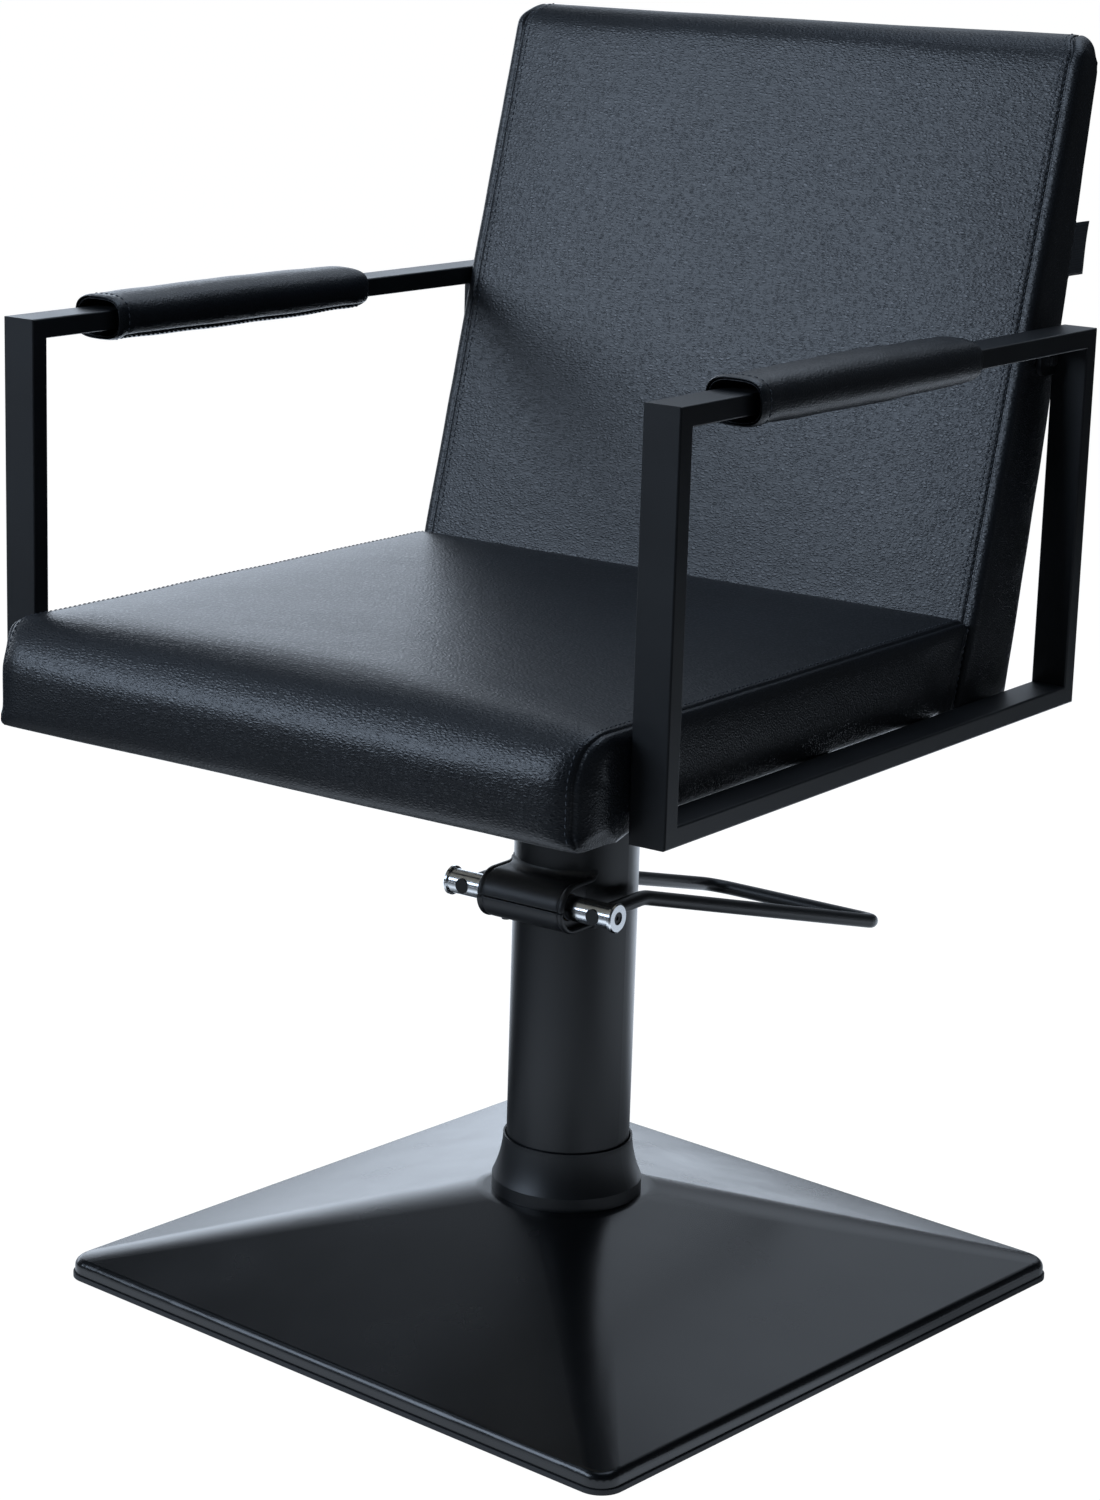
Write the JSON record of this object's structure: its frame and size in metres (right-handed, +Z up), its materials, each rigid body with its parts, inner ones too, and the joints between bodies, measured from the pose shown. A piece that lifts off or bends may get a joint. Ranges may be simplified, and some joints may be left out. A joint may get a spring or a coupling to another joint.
{
  "type": "hairdressing chair",
  "caption": "Upholstered salon chair with a leaning back, closed rectangular arm frames with padded sleeves, a lifting and turning pump column with a foot lever, and a square pyramid foot.",
  "frame": {"origin": "On the floor, on the column's axis, at the middle of the foot's lower face.", "axes": "+Z is up along the column, -Y is where the sitter looks, +X is at the sitter's left hand."},
  "size_m": [0.6252, 0.731, 1.008],
  "materials": {
    "satin_black_steel": "satin black powder coat",
    "black_rubber": "matt",
    "plain_steel": "machined",
    "zinc_plated_steel": "zinc plated",
    "polished_steel": "ground and polished",
    "chromed_steel": "bright chrome",
    "black_steel_screw": "black oxide",
    "bearing_plastic": "natural",
    "bush_brass": "machined",
    "black_plastic": "fine matt texture",
    "plywood": "bare",
    "black_leatherette": "coated fabric with a fine pebble grain",
    "woven_tag": "bare woven"
  },
  "bodies": {
    "base": {"base_cover": "satin_black_steel", "base_rim": "black_rubber", "base_plate": "plain_steel", "pivot_hub": "plain_steel", "hub_bolts": "zinc_plated_steel", "thrust_ring": "bearing_plastic", "collar": "satin_black_steel"},
    "ram": {"ram_foot": "plain_steel", "ram_rod": "polished_steel", "guide_sleeve": "polished_steel"},
    "column": {"column_tube": "satin_black_steel", "shaft_yoke": "satin_black_steel", "seat_mount_plate": "satin_black_steel", "cross_bar_front": "satin_black_steel", "cross_bar_rear": "satin_black_steel", "cross_bar_back": "satin_black_steel", "back_lugs": "satin_black_steel", "left_arm_bottom_bar": "satin_black_steel", "left_arm_rear_post": "satin_black_steel", "left_arm_top_bar": "satin_black_steel", "left_arm_front_post": "satin_black_steel", "right_arm_bottom_bar": "satin_black_steel", "right_arm_rear_post": "satin_black_steel", "right_arm_top_bar": "satin_black_steel", "right_arm_front_post": "satin_black_steel", "pump_cylinder": "plain_steel", "pump_block": "plain_steel", "plunger_spring": "plain_steel", "seat_bolts": "zinc_plated_steel", "back_foot_screws": "zinc_plated_steel", "cover_screws": "zinc_plated_steel", "back_bolts": "zinc_plated_steel", "shaft_bushes": "bush_brass", "cylinder_gland": "bush_brass", "lever_cover_upper": "black_plastic", "lever_cover_lower": "black_plastic", "seat_board": "plywood", "back_board": "plywood", "seat_cushion": "black_leatherette", "back_cushion": "black_leatherette", "back_rear_panel": "black_leatherette", "left_arm_sleeve": "black_leatherette", "right_arm_sleeve": "black_leatherette", "label_tag": "woven_tag"},
    "lever": {"cross_shaft": "chromed_steel", "shaft_end_caps": "chromed_steel", "shaft_end_screws": "black_steel_screw", "pump_finger": "plain_steel", "lever_rod": "satin_black_steel"},
    "plunger": {"pump_plunger": "plain_steel"}
  },
  "joints": [
    {"name": "swivel", "type": "hinge", "parent": "base", "child": "ram", "pos_m": [0, 0, 0], "axis": [0, 0, 1], "continuous": true},
    {"name": "lift", "type": "slide", "parent": "ram", "child": "column", "axis": [0, 0, 1], "range_m": [-0.085, 0.065]},
    {"name": "lever", "type": "hinge", "parent": "column", "child": "lever", "pos_m": [0, -0.0575, 0.336], "axis": [-1, 0, 0], "range_deg": [0, 15], "stiffness_Nm_per_rad": 6, "springref_deg": -40.11},
    {"name": "plunger_stroke", "type": "slide", "parent": "column", "child": "plunger", "axis": [0, 0, -1], "range_m": [0, 0.0056], "deforming": ["plunger_spring"]}
  ],
  "couplings": [
    {"joint": "plunger_stroke", "follows": "lever", "m_per_rad": 0.0209}
  ]
}
